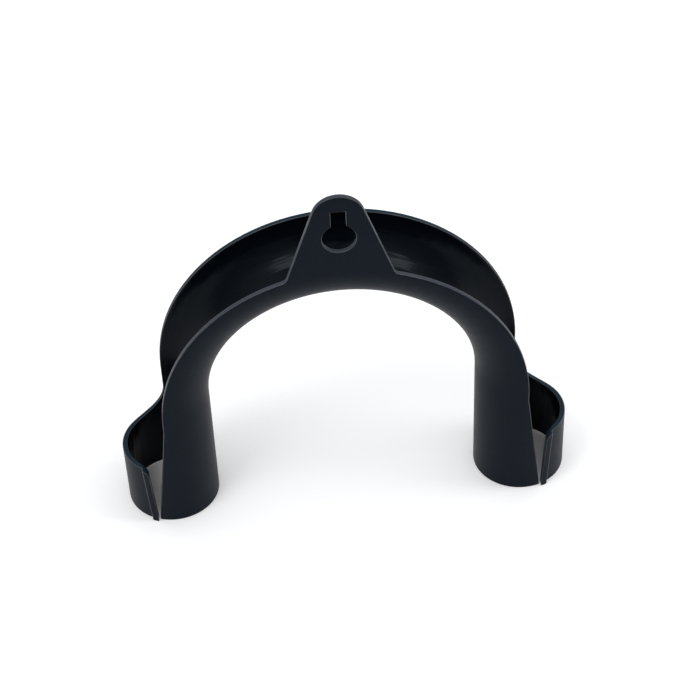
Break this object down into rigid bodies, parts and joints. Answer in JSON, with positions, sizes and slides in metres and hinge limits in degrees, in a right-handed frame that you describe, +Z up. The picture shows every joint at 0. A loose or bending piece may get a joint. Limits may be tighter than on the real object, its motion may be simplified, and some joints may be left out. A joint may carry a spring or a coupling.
{
  "type": "drain hose support",
  "caption": "Arched half-round guide that bends a drain hose over an edge, with split hose collars at both feet and a keyhole tab for hanging.",
  "frame": {"origin": "on the floor, midway between the two feet, in the middle of the support's depth", "axes": "+X to the right along the line through both feet, +Y away from the face with the hanging tab, +Z up"},
  "size_m": [0.1636, 0.0337, 0.1458],
  "materials": {
    "hose_support": "dark slate grey moulded polypropylene: satin inside the trough, matt outside"
  },
  "bodies": {
    "root": {"hose_support": "hose_support"}
  },
  "joints": []
}
